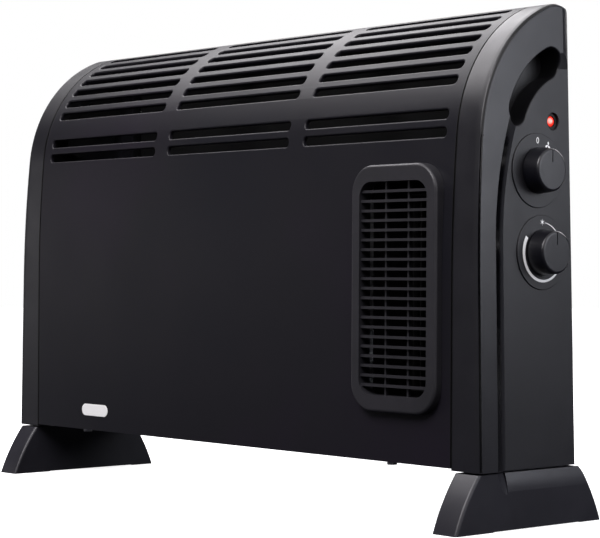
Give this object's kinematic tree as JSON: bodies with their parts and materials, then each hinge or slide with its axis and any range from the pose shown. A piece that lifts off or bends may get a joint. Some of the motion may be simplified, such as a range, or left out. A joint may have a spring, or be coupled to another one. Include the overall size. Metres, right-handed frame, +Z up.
{
  "type": "convector heater",
  "caption": "Free-standing convector heater: bowed slotted steel casing between moulded end caps with grip wells, two knobs, a pilot light, a fan behind a barred grille and two flared feet.",
  "frame": {"origin": "on the floor, under the middle of the overall box", "axes": "+X to the right seen from the front, along the casing's length; +Y to the back; +Z up"},
  "size_m": [0.608, 0.163, 0.3971],
  "materials": {
    "casing_paint": "satin black paint",
    "cap_plastic": "matt charcoal moulding",
    "grille_plastic": "matt black moulding",
    "knob_plastic": "matt charcoal moulding, paler face",
    "inner_plastic": "black moulding",
    "terminal_plastic": "white moulding",
    "lens_red": "clear red moulding",
    "zinc_sheet": "zinc-coated sheet",
    "screw_steel": "plated steel",
    "element_metal": "dull heat-stained metal",
    "core_steel": "laminated steel",
    "coil_copper": "enamelled copper wire",
    "bush_brass": "plain bearing metal"
  },
  "bodies": {
    "casing": {"front_panel": "casing_paint", "rear_panel": "casing_paint", "base_plate": "casing_paint", "right_end_cap": "cap_plastic", "left_end_cap": "cap_plastic", "right_foot": "cap_plastic", "left_foot": "cap_plastic", "foot_screws": "screw_steel", "panel_screws": "screw_steel", "fan_grille": "grille_plastic", "selector_dial": "cap_plastic", "thermostat_dial": "cap_plastic", "selector_switch": "inner_plastic", "thermostat_body": "inner_plastic", "pilot_lamp": "inner_plastic", "pilot_lens": "lens_red", "heat_shield": "zinc_sheet", "element_bracket_left": "zinc_sheet", "element_bracket_right": "zinc_sheet", "heater_element_front": "element_metal", "heater_element_rear": "element_metal", "thermal_cutout": "inner_plastic", "terminal_block": "terminal_plastic", "cord_gland": "grille_plastic", "fan_bottom_plate": "inner_plastic", "fan_top_plate": "inner_plastic", "fan_scroll": "inner_plastic", "fan_tongue": "inner_plastic", "fan_bush": "bush_brass", "motor_stator": "core_steel", "motor_coil": "coil_copper", "motor_bracket": "zinc_sheet"},
    "selector": {"selector_knob": "knob_plastic", "selector_shaft": "screw_steel"},
    "thermostat": {"thermostat_knob": "knob_plastic", "thermostat_shaft": "screw_steel"},
    "fan": {"fan_rotor": "inner_plastic", "fan_shaft": "screw_steel", "motor_rotor": "core_steel"}
  },
  "joints": [
    {"name": "selector_turn", "type": "hinge", "parent": "casing", "child": "selector", "pos_m": [0.30798, 0.0124, 0.269], "axis": [-1, 0, 0], "range_deg": [0, 120]},
    {"name": "thermostat_turn", "type": "hinge", "parent": "casing", "child": "thermostat", "pos_m": [0.30798, 0.01674, 0.207], "axis": [-1, 0, 0], "range_deg": [0, 300]},
    {"name": "fan_spin", "type": "hinge", "parent": "casing", "child": "fan", "pos_m": [0.20948, -0.0095, 0.1], "axis": [0, 0, 1], "continuous": true}
  ]
}
